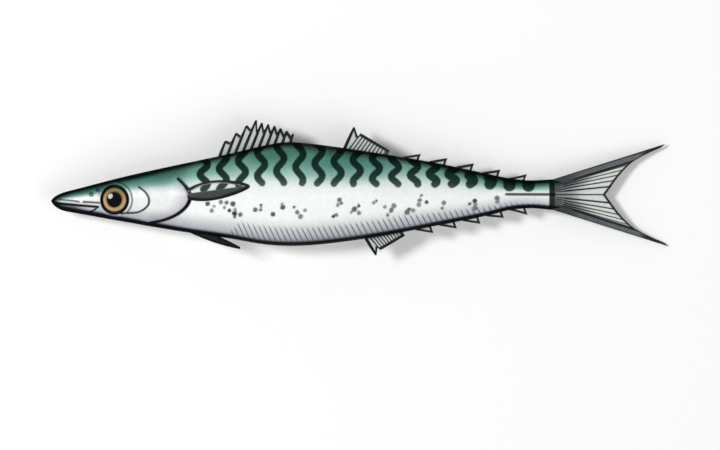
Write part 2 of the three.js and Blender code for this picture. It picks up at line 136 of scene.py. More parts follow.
def draw_out(ring, rings):
    """Closes a loose ring of 1 m and draws it out from one (centre, size) to the next."""
    only(ring)
    bpy.ops.object.mode_set(mode="EDIT")
    bpy.ops.mesh.select_all(action="SELECT")
    at, size = Vector((0, 0, 0)), (1, 1, 1)
    for i, (centre, new_size) in enumerate(rings):
        if i:
            bpy.ops.mesh.extrude_region_move(TRANSFORM_OT_translate={"value": Vector(centre) - at})
        else:
            bpy.ops.mesh.edge_face_add()
            bpy.ops.transform.translate(value=centre)
        bpy.ops.transform.resize(value=[n / o for n, o in zip(new_size, size)], center_override=centre)
        at, size = Vector(centre), new_size
    bpy.ops.mesh.select_all(action="SELECT")
    bpy.ops.mesh.normals_make_consistent(inside=False)
    bpy.ops.object.mode_set(mode="OBJECT")


RING_SIDES = 46
# The rings lie closest at the snout's tip, and close over the head, for its creases
stations = [FIRST_RING, 0.6, 1.4, 2.6, 4.2, 6.2, *np.arange(8.2, 80, 1.45),
            *np.arange(81, PEDUNCLE_END - 2, 3), PEDUNCLE_END, 279, 281.3, 283.6, HYPURAL_END]
bpy.ops.object.select_all(action="DESELECT")
bpy.ops.mesh.primitive_circle_add(vertices=RING_SIDES, radius=1, rotation=(0, math.pi / 2, 0))
skin = bpy.context.object
skin.name = "skin"
bpy.ops.object.transform_apply(location=False, rotation=True, scale=False)
for vertex in skin.data.vertices:
    vertex.co.z = math.copysign(abs(vertex.co.z) ** FLANK_FULLNESS, vertex.co.z)
body_rings = []
for s in stations:
    middle, depth, width = section(s)
    body_rings.append((in_frame(s, middle, 0.0), (1, depth * MM, width * MM)))
draw_out(skin, body_rings)
apply_modifier(skin, "SUBSURF", levels=2, render_levels=2)

EYE_S, EYE_Y, EYE_RADIUS = 35.5, -2.6, 7.4
SOCKET_DEPTH = 3.6
# Creases of the head: path as (s, y), breadth, how deep it is pressed in, and how dark its painted shade is
GILL_EDGE = [(74.6, 4.5), (76.5, 1.7), (77, -1.7), (75.1, -6), (70.1, -10.4), (63, -13.5), (55.5, -15.1)]
eyelid = [(EYE_S + 9.6 * math.cos(a), EYE_Y + 9.6 * math.sin(a)) for a in np.linspace(1.5, -0.75, 9)]
front_lid = [(EYE_S + 9.1 * math.cos(a), EYE_Y + 9.1 * math.sin(a)) for a in np.linspace(1.7, 2.9, 6)]
CREASES = [
    (GILL_EDGE, 0.85, 0.5, 1.0),
    ([(70.4, 8.6), (73, 6.2), (75.6, 3.2)], 0.68, 0.3, 1.0),
    ([(57, -14.8), (53, -15.3), (48.5, -15)], 0.5, 0.3, 1.0),
    ([(48.7, 4.4), (52.6, 1.2), (54.4, -2.9), (53, -6.6), (47.6, -9.6), (38.8, -9.9)], 0.46, 0.25, 0.95),
    (eyelid, 0.4, 0.18, 0.7),
    (front_lid, 0.4, 0.12, 0.5),
    ([(1.4, -4.3), (14, -5.6), (26.1, -6.6)], 0.55, 0.9, 1.0),
    ([(26.1, -6.6), (23.6, -8.5), (20.4, -9.4)], 0.42, 0.25, 0.95),
    ([(5, -2.5), (12, -3.1), (15.7, -3.8)], 0.36, 0.15, 0.75),
    ([(18.2, -3.8), (22, -4), (27, -4.3)], 0.42, 0.15, 0.85),
]
# Place (s, y) and radius of each nostril, then middle and reach of the ovals that the gill plates follow
NOSTRILS = [(22.5, 0.3, 0.85), (26, 2.8, 0.75)]
GILL_COVER = (55, -0.4), (22, 14.4)
FRONT_PLATE = (45.5, -2.2), (9.3, 7.8)


def smooth_path(path, steps=5):
    """The path with more points, on a smooth curve through the given ones."""
    along = smooth_through([(i, p[0]) for i, p in enumerate(path)])
    up = smooth_through([(i, p[1]) for i, p in enumerate(path)])
    at = np.linspace(0, len(path) - 1, (len(path) - 1) * steps + 1)
    return np.stack([along(at), up(at)], 1)


def distance_to(path, s, y):
    """How far each place (s, y) is from the path, in millimetres."""
    near = np.full(len(s), 1e3)
    for (s0, y0), (s1, y1) in zip(path[:-1], path[1:]):
        ds, dy = s1 - s0, y1 - y0
        t = np.clip(((s - s0) * ds + (y - y0) * dy) / (ds * ds + dy * dy), 0, 1)
        near = np.minimum(near, np.hypot(s - s0 - t * ds, y - y0 - t * dy))
    return near


def about_oval(middle, reach, s, y):
    """Each place's angle about the oval's middle, and how far out it lies: 1 is on the oval."""
    along, up = (s - middle[0]) / reach[0], (y - middle[1]) / reach[1]
    return np.arctan2(up, along), np.hypot(along, up)


def ease(x, start, end):
    """0 before start, 1 after end, and smooth between."""
    t = np.clip((x - start) / (end - start), 0, 1)
    return t * t * (3 - 2 * t)


def vertices_of(mesh):
    """Where each vertex is, one row of x, y, z for each."""
    co = np.empty(len(mesh.vertices) * 3, np.float32)
    mesh.vertices.foreach_get("co", co)
    return co.reshape(-1, 3).astype(float)


def move_vertices(mesh, places):
    """Puts each vertex at its row of places."""
    mesh.vertices.foreach_set("co", places.astype(np.float32).ravel())


def paint(mesh, name, *columns):
    """Keeps three numbers for each vertex, for a material to read. A column may be one number for all."""
    attribute = mesh.attributes.new(name, "FLOAT_VECTOR", "POINT")
    columns = [np.broadcast_to(column, len(mesh.vertices)) for column in columns]
    attribute.data.foreach_set("vector", np.stack(columns, 1).astype(np.float32).ravel())


skin_at = vertices_of(skin.data)
outward = np.empty(len(skin_at) * 3, np.float32)
skin.data.vertex_normals.foreach_get("vector", outward)
outward = outward.reshape(-1, 3)
s = (skin_at[:, 0] - SNOUT_X) / MM
y = (skin_at[:, 1] - FORK_Y) / MM
to_flank = np.clip(np.abs(outward[:, 2]) * 2.2, 0, 1)

relief = np.zeros(len(s))
# Painted shade in the head's creases, round the nostrils, along the keel and at the eye sockets, from 0 to
# 1
crease_shade = np.zeros(len(s))
for path, breadth, deep, dark in CREASES:
    near = distance_to(smooth_path(path), s, y)
    relief -= deep * np.exp(-((near / breadth) ** 2))
    crease_shade = np.maximum(crease_shade, dark * (1 - ease(near, breadth * 0.8, breadth * 1.7)))
# The gill cover rises towards its free edge, and drops off behind it
turn, rho = about_oval(*GILL_COVER, s, y)
fade = ease(turn, -1.95, -1.4) * (1 - ease(turn, 0.72, 0.95))
relief += 0.95 * fade * np.clip((rho - 0.4) / 0.6, 0, 1) ** 1.5 * (1 - ease(rho, 0.985, 1.01))
# Painted lavender-grey shade on the gill cover, deeper towards its edge and fading out near its top
gill_shade = fade * np.clip((rho - 0.4) / 0.5, 0, 1) * (1 - ease(rho, 0.99, 1.01)) * ease(turn, 0.95, 0.2)
# A little painted shade also greys the whole head before the gill edge
gill_shade = np.maximum(gill_shade, 0.3 * (1 - ease(s, 64, 80)))
# The front gill plate stands a little proud of the one behind it
plate_turn, plate = about_oval(*FRONT_PLATE, s, y)
relief += (0.4 * ease(plate, 0.5, 0.97) * (1 - ease(plate, 0.97, 1.03))
           * ease(plate_turn, -1.9, -1.2) * (1 - ease(plate_turn, 0.8, 1.15)))
# A fleshy rim round each eye, lips, nostrils, the keel on the tail stem
from_eye = np.hypot(s - EYE_S, y - EYE_Y)
relief += 0.55 * np.exp(-(((from_eye - EYE_RADIUS - 1.15) / 0.85) ** 2))
lip_line = smooth_path([(2.5, -3.3), (14, -4.6), (27, -5.6)])
relief += 0.35 * np.exp(-((distance_to(lip_line, s, y) / 0.75) ** 2)) * ease(s, 2, 5)
jaw_line = smooth_path([(2.5, -5.6), (14, -7.2), (23, -8.3)])
relief += 0.3 * np.exp(-((distance_to(jaw_line, s, y) / 0.9) ** 2)) * ease(s, 2, 5)
for nostril_s, nostril_y, radius in NOSTRILS:
    away = np.hypot(s - nostril_s, y - nostril_y)
    relief += (0.22 * np.exp(-(((away - radius) / 0.3) ** 2))
               - 0.5 * np.exp(-((away / (radius * 0.6)) ** 2)))
    # Painted shade in a ring round each nostril
    crease_shade = np.maximum(crease_shade, 0.95 * np.exp(-(((away - radius * 1.05) / 0.45) ** 2)))
keel = smooth_path([(250.5, 0.4), (262, 0.35), (277, 0.3)])
from_keel = distance_to(keel, s, y)
relief += 0.9 * np.exp(-((from_keel / 0.8) ** 2)) * ease(s, 249, 255)
# Painted shade along the keel line
crease_shade = np.maximum(crease_shade, 0.9 * (1 - ease(from_keel, 0.5, 0.95)))
# Painted shade darkens the lower jaw's tip below the mouth, and the edge of each socket
mouth_y = np.interp(s, [1.4, 14, 26.1], [-4.3, -5.6, -6.6])
crease_shade = np.maximum(crease_shade, 0.72 * (1 - ease(s, 11, 22)) * (1 - ease(y - mouth_y, -0.7, 0.1)))
crease_shade = np.maximum(crease_shade, 1 - ease(from_eye, EYE_RADIUS + 0.35, EYE_RADIUS + 0.75))
relief *= to_flank
skin_at += outward * (relief * MM)[:, None]
# The eye's socket goes straight in, deeper than the eyeball
inside = 1 - ease(from_eye, EYE_RADIUS + 0.15, EYE_RADIUS + 0.75)
skin_at[:, 2] -= np.sign(outward[:, 2]) * inside * SOCKET_DEPTH * MM
# The lower flank is pressed flat where it lies on the table
skin_at[:, 2] = np.maximum(skin_at[:, 2], 0)
move_vertices(skin.data, skin_at)
only(skin)
bpy.ops.object.shade_smooth()

# The pattern of the skin: dark wavy bars over the back, spots in clusters, slanting lines on the belly
BAR_FIRST, BAR_PITCH, BARS = 84.4, 10.5, 18
BAR_HALF_BREADTH = 2.0
# A bar swings this far to each side, and from one side to the other in this share of its length
BAR_SWING, HALF_WAVE = 2.1, 0.29


def bar_depth(s, y):
    """How deep inside a dark bar each place is, in millimetres, and how far down its band, from 0 to 1.
    Towards the tail the bars grow broader, and the last ones are straight."""
    deep = np.full(len(s), -50.0)
    for k in range(BARS):
        middle = BAR_FIRST + BAR_PITCH * k
        near = np.abs(s - middle) < BAR_PITCH
        half = BAR_HALF_BREADTH + 0.45 * float(ease(k, 10, 14)) + 1.1 * float(ease(k, 13.5, 16))
        swing = BAR_SWING * min(1, max(0, (16 - k) / 3))
        way = -1 if (k // 3) % 2 == 0 else 1
        top = float(back(middle))
        band = top - float(bars_to(middle))
        down = np.linspace(-0.05, 1 - half / band, 22)
        wave = np.cos(math.pi * (down - 0.45 + 0.09 * (k % 3)) / HALF_WAVE)
        path = np.stack([middle + way * swing * wave, top - down * band], 1)
        deep[near] = np.maximum(deep[near], half - distance_to(path, s[near], y[near]))
    return deep, (back(s) - y) / np.maximum(2.0, back(s) - bars_to(s))


# Each cluster is a middle (s, y), how many spots it has, and how far they spread
SPOT_CLUSTERS = [(88.5, -6.2, 3, 3.6), (97.2, -5.4, 5, 4.6), (102.6, -10, 4, 3.4), (115.2, -7.2, 3, 3.0),
                 (122.4, -10.6, 1, 0.1), (128, -5.6, 2, 1.8), (137, -8.5, 4, 4.8), (159.3, -4.1, 3, 2.4),
                 (156.8, -11.5, 2, 1.5), (168.6, -8.2, 4, 3.9), (178, -3.8, 2, 1.4), (185.6, -8.2, 4, 4.6),
                 (197.2, -8.6, 3, 2.3), (204.6, -2.8, 4, 4.2), (215, -6, 2, 2.9), (232.4, -5.4, 4, 3.2),
                 (246.1, -2.4, 2, 1.8)]
GOLDEN_TURN = 2.4


def spot_depth(s, y):
    """How deep inside a dark spot each place is, in millimetres, and how dark that spot is."""
    deep = np.full(len(s), -50.0)
    ink = np.zeros(len(s))
    for n, (middle_s, middle_y, count, spread) in enumerate(SPOT_CLUSTERS):
        for j in range(count):
            angle = GOLDEN_TURN * j + 1.7 * n
            reach = spread * math.sqrt((j + 0.6) / count)
            radius = 1.0 + 0.6 * ((3 * n + 5 * j) % 7) / 6
            away = np.hypot(s - middle_s - reach * math.cos(angle),
                            y - middle_y - 0.75 * reach * math.sin(angle))
            nearer = radius - away > deep
            deep = np.where(nearer, radius - away, deep)
            ink = np.where(nearer, 0.72 + 0.28 * ((2 * n + 3 * j) % 5) / 4, ink)
    return deep, ink


bar, bar_down = bar_depth(s, y)
spot, spot_ink = spot_depth(s, y)
# The belly's lines: how far apart, how far up from its edge they reach, and the number of the nearest
HATCH_PITCH = 2.95
hatch_reach = np.interp(s, [96, 104, 190, 236, 262], [0, 10.6, 9.6, 5.6, 3.0])
hatch_number = (s + 0.5 * (y - belly(s))) / HATCH_PITCH
# Behind the tail stem the same lines are the fin's rays, which fan out over its whole breadth
RAY_SPACING = 0.104
in_tail = s > PEDUNCLE_END
off_middle = np.abs(y - TAIL_ROOT_Y)
fan_light = 0.35 * ease(s, 278, 286) + 0.45 * (1 - ease(off_middle, 0.4, 2.8))
fan_half = TAIL_ROOT_HALF + 0.45 * np.maximum(0, s - PEDUNCLE_END)
hatch_number = np.where(in_tail, (off_middle / fan_half) ** 1.25 / RAY_SPACING + 0.5, hatch_number)
hatch_reach = np.where(in_tail, 60, hatch_reach)
# How slowly the green lightens down the flank: above 1 it stays dark for longer
slowness = np.interp(s, [14, 22, 40, 57, 77, 104, 131, 155, 170, 192, 236, 250, 265, 277],
                     [1.7, 2.0, 1.9, 1.5, 0.62, 0.67, 1.0, 1.45, 1.3, 0.62, 0.72, 1.3, 1.35, 1.1])
down_green = np.maximum(0, back(s) - y) / np.maximum(1.2, back(s) - green_to(s))
# How far the belly's painted grey shade reaches up the flank
belly_reach = np.interp(s, [40, 60, 90, 120, 150, 220, 250, 277], [10, 11, 12.5, 15, 15.5, 11.5, 8.5, 7.5])
# The belly's painted shade and its painted dark edge stay on the shown flank, and the side on the table is
# plain silver
turned_under = middle_plane(s) - skin_at[:, 2] / MM
# tone: how far down the green has faded, the gill cover's painted shade, and where the belly's painted
# shade lies
paint(skin.data, "tone", np.where(in_tail, fan_light, down_green**slowness), gill_shade,
      (y - belly(s)) / belly_reach + 0.9 * ease(turned_under, -1, 9))
# marks: the dark bars, the spots, and the painted shade of the creases
paint(skin.data, "marks", bar, spot, crease_shade)
paint(skin.data, "lines", hatch_number, (y - belly(s)) - hatch_reach,
      bar_down * np.interp(s, [106, 112], [0.82, 1]))
# edges: distance below the back, distance above the belly for its painted dark edge, and s
paint(skin.data, "edges", (back(s) - y) * np.interp(s, [4, 12, 24, 50, 80], [0.95, 1.15, 1.1, 0.86, 1]),
      (y - belly(s)) * np.interp(s, [30, 100], [0.82, 1]) + 5 * ease(turned_under, -1, 3), s)
paint(skin.data, "ink", spot_ink, spot_ink, spot_ink)


def srgb(code):
    """A colour given as #rrggbb, turned linear for a shader."""
    parts = [int(code[i:i + 2], 16) / 255 for i in (1, 3, 5)]
    return (*[c / 12.92 if c <= 0.04045 else ((c + 0.055) / 1.055) ** 2.4 for c in parts], 1)


def new_material(name):
    material = bpy.data.materials.new(name)
    material.use_nodes = True
    material.node_tree.nodes.clear()
    return material


def node(material, kind, values=()):
    """Adds a node and gives back its outputs. A value is a setting, a ramp's stops, or what goes into an
    input, by name or number: a number, a colour or another node's output."""
    made = material.node_tree.nodes.new("ShaderNode" + kind)
    for name, value in dict(values).items():
        if isinstance(value, str) and value.startswith("#"):
            value = srgb(value)
        if name == "stops":
            while len(made.color_ramp.elements) < len(value):
                made.color_ramp.elements.new(1)
            for element, (place, colour) in zip(made.color_ramp.elements, value):
                element.position = place
                element.color = srgb(colour) if isinstance(colour, str) else (colour, colour, colour, 1)
        elif isinstance(value, bpy.types.NodeSocket):
            material.node_tree.links.new(value, made.inputs[name])
        elif isinstance(name, str) and hasattr(made, name):
            setattr(made, name, value)
        else:
            made.inputs[name].default_value = value
    return made.outputs


# Wet mackerel skin: a clear film of water over tiny scales on silver pigment. The eye sees a dark green
# back that fades to white silver, soft-edged blue-black bars, and a long wet highlight.
# Painted shade on it: the belly's grey and near-black edge, the gill cover's grey and the head's creases
wet_skin = new_material("wet_mackerel_skin")
place = node(wet_skin, "TexCoord")["Object"]
painted = {}
for name in ["tone", "marks", "lines", "edges", "ink"]:
    kept = node(wet_skin, "Attribute", {"attribute_name": name})["Vector"]
    painted[name] = node(wet_skin, "SeparateXYZ", {0: kept})
tone, marks, lines, edges = painted["tone"], painted["marks"], painted["lines"], painted["edges"]

# Mottling 6 mm across, patches 26 mm across, ragged edges of 1 mm, and scales about 1.3 mm across, which is
# twice their real size so that they show
mottle = node(wet_skin, "TexNoise", {"Scale": 160, "Detail": 3, "Roughness": 0.55, "Vector": place})["Fac"]
patches = node(wet_skin, "TexNoise", {"Scale": 38, "Detail": 1, "Vector": place})["Fac"]
ragged = node(wet_skin, "TexNoise", {"Scale": 900, "Detail": 2, "Roughness": 0.6, "Vector": place})["Fac"]
scales = node(wet_skin, "TexVoronoi", {"feature": "F1", "Scale": 780, "Randomness": 0.75, "Vector": place})
drift = node(wet_skin, "Math", {"operation": "MULTIPLY_ADD", 0: mottle, 1: 0.16, 2: -0.08})[0]
down = node(wet_skin, "Math", {"operation": "ADD", 0: tone[0], 1: drift})[0]
down = node(wet_skin, "Math", {"operation": "MULTIPLY", 0: down, 1: 0.7})[0]
green = node(wet_skin, "ValToRGB", {"Fac": down, "stops": [
    (0, "#10241f"), (0.06, "#2f6051"), (0.14, "#488373"), (0.25, "#53897a"), (0.35, "#6e9d90"),
    (0.45, "#88b2a6"), (0.52, "#a6c8bd"), (0.58, "#c1dad2"), (0.65, "#dce9e5"), (0.75, "#eff4f3"),
    (0.9, "#f7faf9")]})[0]
deeper = node(wet_skin, "MapRange", {"Value": patches, "From Min": 0.42, "From Max": 0.68})[0]
upper = node(wet_skin, "MapRange", {"Value": tone[0], "From Min": 0.85, "From Max": 0.2})[0]
deeper = node(wet_skin, "Math", {"operation": "MULTIPLY", 0: deeper, 1: upper})[0]
deeper = node(wet_skin, "Math", {"operation": "MULTIPLY", 0: deeper, 1: 0.75})[0]
green = node(wet_skin, "Mix", {"data_type": "RGBA", 0: deeper, 6: green, 7: "#2b5f4f"})[2]
# Painted shade: the belly greys downwards and turns near black at its edge
under = node(wet_skin, "ValToRGB", {"Fac": tone[2], "stops": [
    (0.09, "#0a0c11"), (0.14, "#565a64"), (0.2, "#93959d"), (0.27, "#b3b5bf"), (0.35, "#c3c5cd"),
    (0.5, "#d3d4d9"), (0.65, "#e2e4e4"), (0.8, "#f2f4f2"), (1, "#ffffff")]})[0]
colour = node(wet_skin, "Mix", {
    "data_type": "RGBA", "blend_type": "MULTIPLY", 0: 1.0, 6: green, 7: under})[2]
# The gill cover's and head's painted lavender-grey shade
lilac_gill_shade = node(wet_skin, "Math", {"operation": "MULTIPLY", 0: tone[1], 1: 0.85})[0]
colour = node(wet_skin, "Mix", {
    "data_type": "RGBA", "blend_type": "MULTIPLY", 0: lilac_gill_shade, 6: colour, 7: "#c0bac3"})[2]
# Slanting lines of the belly muscles, and the rays where the skin runs into the grey tail
on_tail = node(wet_skin, "MapRange", {"Value": edges[2], "From Min": 277.1, "From Max": 277.7})[0]
fan = node(wet_skin, "Mix", {"data_type": "RGBA", 0: tone[0], 6: "#646d6b", 7: "#c3ccc8"})[2]
colour = node(wet_skin, "Mix", {"data_type": "RGBA", 0: on_tail, 6: colour, 7: fan})[2]
line = node(wet_skin, "Math", {"operation": "FRACT", 0: lines[0]})[0]
line = node(wet_skin, "Math", {"operation": "SUBTRACT", 0: line, 1: 0.5})[0]
line = node(wet_skin, "Math", {"operation": "ABSOLUTE", 0: line})[0]
thinner = node(wet_skin, "MapRange", {"Value": on_tail, "To Min": 1, "To Max": 0.42})[0]
line = node(wet_skin, "Math", {"operation": "MULTIPLY", 0: line, 1: thinner})[0]
line = node(wet_skin, "MapRange", {"Value": line, "From Min": 0.18, "From Max": 0.06})[0]
fade_up = node(wet_skin, "Math", {"operation": "MULTIPLY_ADD", 0: mottle, 1: 2.0, 2: lines[1]})[0]
fade_up = node(wet_skin, "MapRange", {"Value": fade_up, "From Min": 1.6, "From Max": -0.6})[0]
hatch = node(wet_skin, "Math", {"operation": "MULTIPLY", 0: line, 1: fade_up})[0]
hatch = node(wet_skin, "Math", {"operation": "MULTIPLY", 0: hatch, 1: 0.85})[0]
line_ink = node(wet_skin, "Mix", {"data_type": "RGBA", 0: on_tail, 6: "#52555d", 7: "#1d2221"})[2]
colour = node(wet_skin, "Mix", {"data_type": "RGBA", 0: hatch, 6: colour, 7: line_ink})[2]
# Spots and bars have slightly ragged edges
rag = node(wet_skin, "Math", {"operation": "MULTIPLY_ADD", 0: ragged, 1: 1.1, 2: -0.55})[0]
spot_in = node(wet_skin, "Math", {"operation": "ADD", 0: marks[1], 1: rag})[0]
spot_in = node(wet_skin, "MapRange", {"Value": spot_in, "From Min": -0.25, "From Max": 0.5})[0]
spot_in = node(wet_skin, "Math", {"operation": "MULTIPLY", 0: spot_in, 1: painted["ink"][0]})[0]
colour = node(wet_skin, "Mix", {"data_type": "RGBA", 0: spot_in, 6: colour, 7: "#343c3d"})[2]
bar_in = node(wet_skin, "Math", {"operation": "MULTIPLY_ADD", 0: rag, 1: 0.5, 2: marks[0]})[0]
bar_in = node(wet_skin, "MapRange", {"Value": bar_in, "From Min": -0.3, "From Max": 0.4, "To Max": 0.97})[0]
bar_ink = node(wet_skin, "ValToRGB", {"Fac": lines[2], "stops": [
    (0, "#030c0a"), (0.35, "#06201a"), (0.75, "#122c26"), (0.9, "#2b413c"), (1, "#4a605a")]})[0]
colour = node(wet_skin, "Mix", {"data_type": "RGBA", 0: bar_in, 6: colour, 7: bar_ink})[2]
# The very top of the back and the snout's tip are near black, the belly's edge is near-black painted shade,
# a dark band closes the tail stem, and the creases' painted shade is drawn over them all
dark_parts = []
for distance, starts, full, most in [(edges[0], 4.2, 1.5, 0.98), (edges[1], 2.95, 1.8, 0.985),
                                     (edges[2], 6.5, 1.5, 0.95), (edges[2], 274.0, 274.6, 0.97)]:
    dark_parts.append(node(wet_skin, "MapRange", {
        "Value": distance, "From Min": starts, "From Max": full, "To Max": most})[0])
ridge, belly_edge_shade, tip, band = dark_parts
band = node(wet_skin, "Math", {"operation": "SUBTRACT", 0: band, 1: on_tail})[0]
for part, ink in [(ridge, "#050b0b"), (belly_edge_shade, "#0c0e14"), (tip, "#070a0b"), (band, "#0a1312"),
                  (marks[2], "#101317")]:
    colour = node(wet_skin, "Mix", {"data_type": "RGBA", 0: part, 6: colour, 7: ink})[2]
# Each scale is a touch lighter or darker than the next
glint = node(wet_skin, "ValToRGB", {"Fac": scales["Color"], "stops": [(0, 0.9), (1, 1.0)]})[0]
colour = node(wet_skin, "Mix", {
    "data_type": "RGBA", "blend_type": "MULTIPLY", 0: 0.8, 6: colour, 7: glint})[2]
height = node(wet_skin, "Math", {"operation": "MULTIPLY_ADD", 0: hatch, 1: -1.5, 2: scales["Distance"]})[0]
bumped = node(wet_skin, "Bump", {"Strength": 0.3, "Distance": 0.00012, "Height": height})[0]
# The film of water is thinnest along the back's ridge and over the belly edge's painted shade, which stay
# dark at a glancing look
rims = node(wet_skin, "Math", {"operation": "MAXIMUM", 0: ridge, 1: belly_edge_shade})[0]
rims = node(wet_skin, "Math", {"operation": "MAXIMUM", 0: rims, 1: marks[2]})[0]
for part, share in [(bar_in, 0.85), (tone[1], 0.6), (band, 1.0)]:
    rims = node(wet_skin, "Math", {"operation": "MULTIPLY_ADD", 0: part, 1: share, 2: rims})[0]
film = node(wet_skin, "MapRange", {"Value": rims, "To Min": 0.3, "To Max": 0.02})[0]
lustre = node(wet_skin, "MapRange", {"Value": rims, "To Min": 0.25, "To Max": 0.0})[0]
shader = node(wet_skin, "BsdfPrincipled", {
    "Base Color": colour, "Normal": bumped, "Roughness": 0.34, "IOR": 1.36,
    "Specular IOR Level": lustre, "Coat Weight": film, "Coat Roughness": 0.1, "Coat IOR": 1.33})[0]
node(wet_skin, "OutputMaterial", {"Surface": shader})
skin.data.materials.append(wet_skin)
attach(skin, "root")
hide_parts("fish")

# EYES
# Each eye is one smooth, wet ball with a low, clear front: a black pupil in a gold iris with a dark rim.
# It is a ring drawn out along the eye's axis, then set into its socket, turned a little to the snout.

# How high its front is domed, how deep it is behind that, how far it stands out of the flank, and its tilt
# in radians
EYE_DOME, EYE_DEPTH, EYE_PROUD, EYE_TILT = 2.1, 4.2, 0.9, 0.18


def flank_height(s, y):
    """How far the shown flank's skin lies off the middle plane at (s, y)."""
    middle, depth, width = section(s)
    sine = np.clip((y - middle) / depth, -0.999, 0.999)
    return width * (1 - sine**2) ** (FLANK_FULLNESS / 2)


def copy_of(piece, name):
    only(piece)
    bpy.ops.object.duplicate()
    copy = bpy.context.object
    copy.name = name
    return copy


bpy.ops.object.select_all(action="DESELECT")
bpy.ops.mesh.primitive_circle_add(vertices=32, radius=1)
left_eye = bpy.context.object
left_eye.name = "left_eyeball"
eye_rings = []
for a in np.radians([-88, -75, -60, -45, -30, -15, 0, 12, 25, 38, 50, 62, 72, 81, 88]):
    lift = math.sin(a) * (EYE_DEPTH if a < 0 else EYE_DOME)
    radius = EYE_RADIUS * math.cos(a) * MM
    eye_rings.append(((0, 0, lift * MM), (radius, radius, 1)))
draw_out(left_eye, eye_rings)
apply_modifier(left_eye, "SUBSURF", levels=2, render_levels=2)
eye_at = vertices_of(left_eye.data) / MM
from_axis = np.hypot(eye_at[:, 0], eye_at[:, 1])
away = np.maximum(from_axis, 0.1)
only(left_eye)
bpy.ops.object.shade_smooth()
right_eye = copy_of(left_eye, "right_eyeball")
seat = float(flank_height(EYE_S, EYE_Y)) + EYE_PROUD - EYE_DOME
for eye, side in [(left_eye, 1), (right_eye, -1)]:
    paint(eye.data, "iris", eye_at[:, 0] / away, side * eye_at[:, 1] / away, from_axis)
    only(eye)
    eye.rotation_euler = (0 if side > 0 else math.pi, -side * EYE_TILT, 0)
    eye.location = in_frame(EYE_S, EYE_Y, side * seat)
    bpy.ops.object.transform_apply(location=True, rotation=True, scale=True)

# Wet eye: a clear, sharp film over everything. The iris is gold, olive towards the back, with fine fibres
# that run outwards, darker at its rim and next to the pupil, and the pupil is a deep black hole.
wet_eye = new_material("wet_eye_gold_iris")
kept = node(wet_eye, "Attribute", {"attribute_name": "iris"})["Vector"]
outwards = node(wet_eye, "SeparateXYZ", {0: kept})
fibre_place = node(wet_eye, "VectorMath", {"operation": "MULTIPLY", 0: kept, 1: (1, 1, 0.12)})[0]
fibres = node(wet_eye, "TexNoise", {
    "Scale": 11, "Detail": 4, "Roughness": 0.65, "Vector": fibre_place})["Fac"]
waver = node(wet_eye, "Math", {"operation": "MULTIPLY_ADD", 0: fibres, 1: 0.5, 2: outwards[2]})[0]
waver = node(wet_eye, "Math", {"operation": "DIVIDE", 0: waver, 1: EYE_RADIUS})[0]
iris = node(wet_eye, "ValToRGB", {"Fac": waver, "stops": [
    (0, "#010101"), (0.575, "#020202"), (0.595, "#5a4630"), (0.65, "#98805a"), (0.74, "#bd9f70"),
    (0.83, "#c3a675"), (0.885, "#93794f"), (0.915, "#3a2c24"), (0.95, "#1a1312"), (1, "#0c0909")]})[0]
olive = node(wet_eye, "MapRange", {
    "Value": outwards[1], "From Min": -0.2, "From Max": 0.9, "To Max": 0.85})[0]
iris = node(wet_eye, "Mix", {
    "data_type": "RGBA", "blend_type": "MULTIPLY", 0: olive, 6: iris, 7: "#a7b89c"})[2]
light_fibre = node(wet_eye, "MapRange", {
    "Value": fibres, "From Min": 0.3, "From Max": 0.75, "To Min": 0.8, "To Max": 1.15})[0]
iris = node(wet_eye, "Mix", {
    "data_type": "RGBA", "blend_type": "MULTIPLY", 0: 1.0, 6: iris, 7: light_fibre})[2]
shader = node(wet_eye, "BsdfPrincipled", {
    "Base Color": iris, "Roughness": 0.4, "Specular IOR Level": 0.0, "Coat Weight": 0.7,
    "Coat Roughness": 0.03, "Coat IOR": 1.36})[0]
node(wet_eye, "OutputMaterial", {"Surface": shader})
for eye, cad_node in [(left_eye, "eye_left"), (right_eye, "eye_right")]:
    eye.data.materials.append(wet_eye)
    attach(eye, "root")
    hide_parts(cad_node)

# FIRST DORSAL FIN
# Ten stiff, dark, round spines stand in the back. A thin grey skin falls from each tip to the next spine.
# One spine is drawn out and the rest are copies of it, each as long as its place needs.

# How far a fin bows to the table for its height squared, and how deep it stands in the body
FIN_LEAN, FIN_BEDDED = 0.006, 1.6
SPINE_FROM, SPINE_PITCH, SPINE_SLANT = 92.4, 4.33, 0.46
SPINE_HEIGHTS = [8.4, 11.8, 14.9, 16.8, 14.3, 12.5, 10.6, 8.4, 6.3, 4.5]
SPINE_LENGTH = 18.0
# Share of the length from the root, and radius there
SPINE_TAPER = [(0, 0.62), (0.25, 0.62), (0.5, 0.58), (0.7, 0.53), (0.85, 0.46), (0.94, 0.4), (0.98, 0.32),
               (1, 0.15)]

bpy.ops.object.select_all(action="DESELECT")
bpy.ops.mesh.primitive_circle_add(vertices=10, radius=1, rotation=(math.pi / 2, 0, 0))
spine = bpy.context.object
bpy.ops.object.transform_apply(location=False, rotation=True, scale=False)
spine_rings = []
for u, radius in SPINE_TAPER:
    spine_rings.append(((0, SPINE_LENGTH * u * MM, 0), (radius * MM, 1, radius * MM)))
draw_out(spine, spine_rings)
apply_modifier(spine, "SUBSURF", levels=1, render_levels=1)
bpy.ops.object.shade_smooth()


